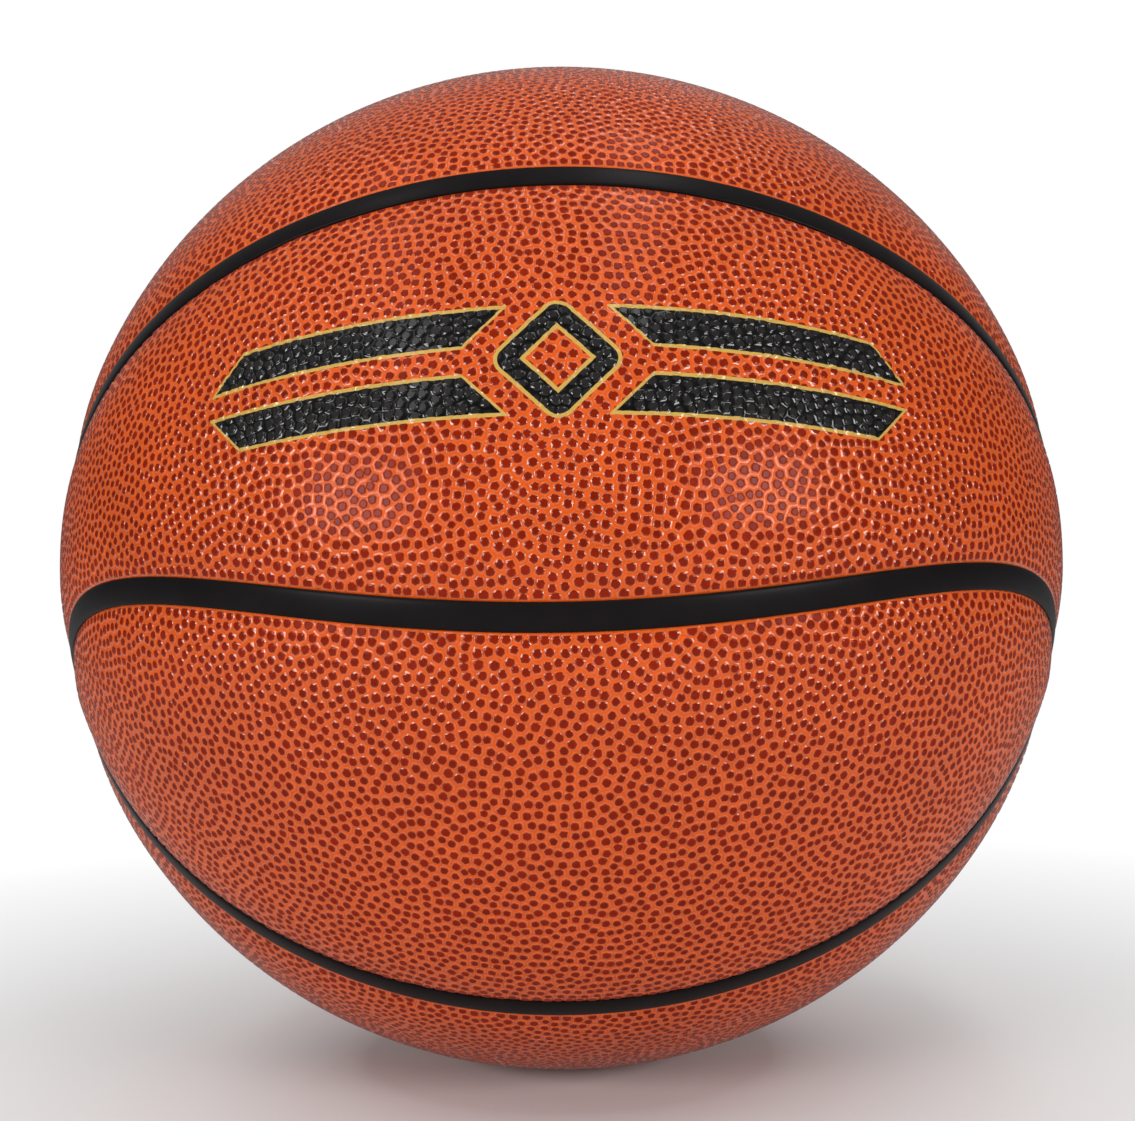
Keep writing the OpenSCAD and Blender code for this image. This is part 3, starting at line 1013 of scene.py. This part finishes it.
def valve_post(name, radius):
    """A post through the valve's place, from the ball's middle outwards."""
    bm = bmesh.new()
    sizes = {"radius1": radius, "radius2": radius, "depth": BALL_R}
    bmesh.ops.create_cone(bm, cap_ends=True, segments=POST_SIDES, **sizes)
    bmesh.ops.translate(bm, verts=bm.verts, vec=(0, 0, BALL_R))
    turn = VALVE_WAY.to_track_quat("Z", "Y").to_matrix().to_4x4()
    bmesh.ops.transform(bm, matrix=turn, verts=bm.verts)
    return leant(name, mesh_of(bm, name))


def joined(body, others):
    """One closed mesh of a body with others added to it or cut from it."""
    for other, way in others:
        cut = body.modifiers.new(other.name, "BOOLEAN")
        cut.operation = way
        cut.solver = "MANIFOLD"
        cut.object = other
    bpy.context.view_layer.update()
    mesh = bpy.data.meshes.new_from_object(body.evaluated_get(bpy.context.evaluated_depsgraph_get()))
    name = body.name
    for piece in [body] + [other for other, _ in others]:
        bpy.data.objects.remove(piece)
    mesh.shade_smooth()
    mesh.set_sharp_from_angle(angle=SHARP)
    mesh.materials.clear()
    return new_piece(name, mesh)


def dress_carcass(finish):
    """Rubber shell with rounded ribs that fill the seams."""
    turn = np.arange(RIB_STEPS) / RIB_STEPS * math.tau
    level = np.zeros(RIB_STEPS)
    loop = loop_line(turn)
    lines = (np.stack((np.cos(turn), level, np.sin(turn)), -1),
             np.stack((np.cos(turn), np.sin(turn), level), -1), loop, loop * (1, -1, 1))
    ribs = [(rib_along("rib_%d" % i, line), "UNION") for i, line in enumerate(lines)]
    hollow = (ball_shape("hollow", WINDING_R), "DIFFERENCE")
    hole = (valve_post("neck_hole", NECK_R), "DIFFERENCE")
    carcass = joined(ball_shape("ribbed_carcass", CARCASS_R), ribs + [hollow, hole])
    carcass.data.materials.append(finish)
    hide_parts("rubber_carcass")
    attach(carcass, "root")


# The camera looks level at the ball's middle, slightly tilted; the photo's sizes are in pixels
CAMERA_FAR = 3.6 * BALL_R
CAMERA_ROLL = math.radians(-1.0)
SENSOR_W = 36
PHOTO_W = 1135
PHOTO_BALL_R = 501.6
SHIFT_X = 0.0054
SHIFT_Y = 0.0067


def add_camera():
    camera = bpy.data.objects.new("camera", bpy.data.cameras.new("camera"))
    bpy.context.scene.collection.objects.link(camera)
    camera.data.sensor_width = SENSOR_W
    camera.data.lens = SENSOR_W / PHOTO_W * PHOTO_BALL_R * math.sqrt((CAMERA_FAR / BALL_R) ** 2 - 1)
    camera.data.shift_x = SHIFT_X
    camera.data.shift_y = SHIFT_Y
    way = Vector((0, CAMERA_FAR, 0))
    turn = way.to_track_quat("-Z", "Y").to_matrix().to_4x4()
    camera.matrix_world = Matrix.Translation(-way) @ turn @ Matrix.Rotation(CAMERA_ROLL, 4, "Z")
    bpy.context.scene.camera = camera


# Softboxes: name, place, width and height in metres, power in watts, and the way the height is laid
SOFTBOXES = (
    ("left_front_softbox", (-0.95, -1.05, 0.33), 0.54, 0.36, 9.3, (0, 0, 1)),
    ("right_front_softbox", (0.95, -1.05, 0.33), 0.54, 0.36, 9.3, (0, 0, 1)),
    ("right_overhead_strip", (0.23, -0.25, 1.0), 0.16, 1.05, 2.1, (0.07, -1, 0)),
    ("left_overhead_strip", (-0.57, -0.45, 1.0), 0.2, 1.3, 2.1, (0.28, 1, 0)),
)

# Light of the surround between two heights of the ray, backwards or upwards, and its strength at each
BACK_LIGHT = (0.5, 0.85)
BACK_LIGHT_UP = (0.1, 0.7, 0.25, 1.0)
TOP_LIGHT = (0.15, 0.6, 0.08, 0.26)

# The floor: how wide it is, and where it runs out into the background
FLOOR_R = 6
FLOOR_SIDES = 64
FLOOR_FADE = (0.05, 0.36)
FADE_CURVE = 0.7
FLOOR_COLOUR = (0.85, 0.85, 0.85, 1)
WHITE = (1, 1, 1, 1)


def softbox(name, spot, width, height, power, along):
    """A box of light that faces the ball, with its height laid along a given way."""
    light = bpy.data.objects.new(name, bpy.data.lights.new(name, "AREA"))
    bpy.context.scene.collection.objects.link(light)
    light.data.shape = "RECTANGLE"
    light.data.size = width
    light.data.size_y = height
    light.data.energy = power
    back = Vector(spot).normalized()
    side = Vector(along).cross(back).normalized()
    turn = Matrix((side, back.cross(side), back)).transposed()
    light.matrix_world = Matrix.Translation(spot) @ turn.to_4x4()


def add_surround():
    """White surround: bright behind the ball, dimmer above it, and plain white to the camera."""
    world = bpy.data.worlds.new("white_studio")
    world.use_nodes = True
    tree = world.node_tree
    way = add(tree, "ShaderNodeTexCoord").outputs["Generated"]
    _, back, up = add(tree, "ShaderNodeSeparateXYZ", {0: way}).outputs
    strength = times(tree, band(tree, back, *BACK_LIGHT), band(tree, up, *BACK_LIGHT_UP))
    strength = figure(tree, "MAXIMUM", strength, band(tree, up, *TOP_LIGHT))
    strength = figure(tree, "MAXIMUM", strength, add(tree, "ShaderNodeLightPath").outputs["Is Camera Ray"])
    put_all(tree, tree.nodes["Background"].inputs, {"Strength": strength, "Color": WHITE})
    bpy.context.scene.world = world


def add_floor():
    bm = bmesh.new()
    bmesh.ops.create_circle(bm, cap_ends=True, segments=FLOOR_SIDES, radius=FLOOR_R)
    bmesh.ops.translate(bm, verts=bm.verts, vec=(0, 0, -BALL_R))
    floor = new_piece("floor", mesh_of(bm, "floor"))
    floor.data.materials.append(white_floor())


def white_floor():
    """Pale floor that keeps the ball's shadow and runs out into the white background."""
    material, tree, shader = principled("white_floor")
    put_all(tree, shader.inputs, {"Base Color": FLOOR_COLOUR, "Roughness": 0.9})
    far = arrow(tree, "LENGTH", arrow(tree, "MULTIPLY", object_spot(tree), (1, 1, 0)))
    far = figure(tree, "POWER", band(tree, far, *FLOOR_FADE), FADE_CURVE)
    ray = add(tree, "ShaderNodeLightPath").outputs["Is Camera Ray"]
    glow = add(tree, "ShaderNodeEmission", {"Color": WHITE, "Strength": 1.0}).outputs[0]
    both = add(tree, "ShaderNodeMixShader", {0: times(tree, far, ray), 1: shader.outputs[0], 2: glow})
    put(tree, tree.nodes["Material Output"].inputs[0], both.outputs[0])
    return material


def main():
    bpy.context.scene.view_settings.view_transform = "Standard"
    add_camera()
    for box in SOFTBOXES:
        softbox(*box)
    add_surround()
    add_floor()
    dress_panels()
    dress_pads()
    dress_winding()
    finish = rubber_finish()
    rib, butyl, moulded = (rubber(finish, name) for name in RUBBERS)
    dress_carcass(rib)
    for node, material in (("valve_housing", moulded), ("valve_core", moulded), ("bladder", butyl)):
        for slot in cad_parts[node].material_slots:
            slot.material = material


main()
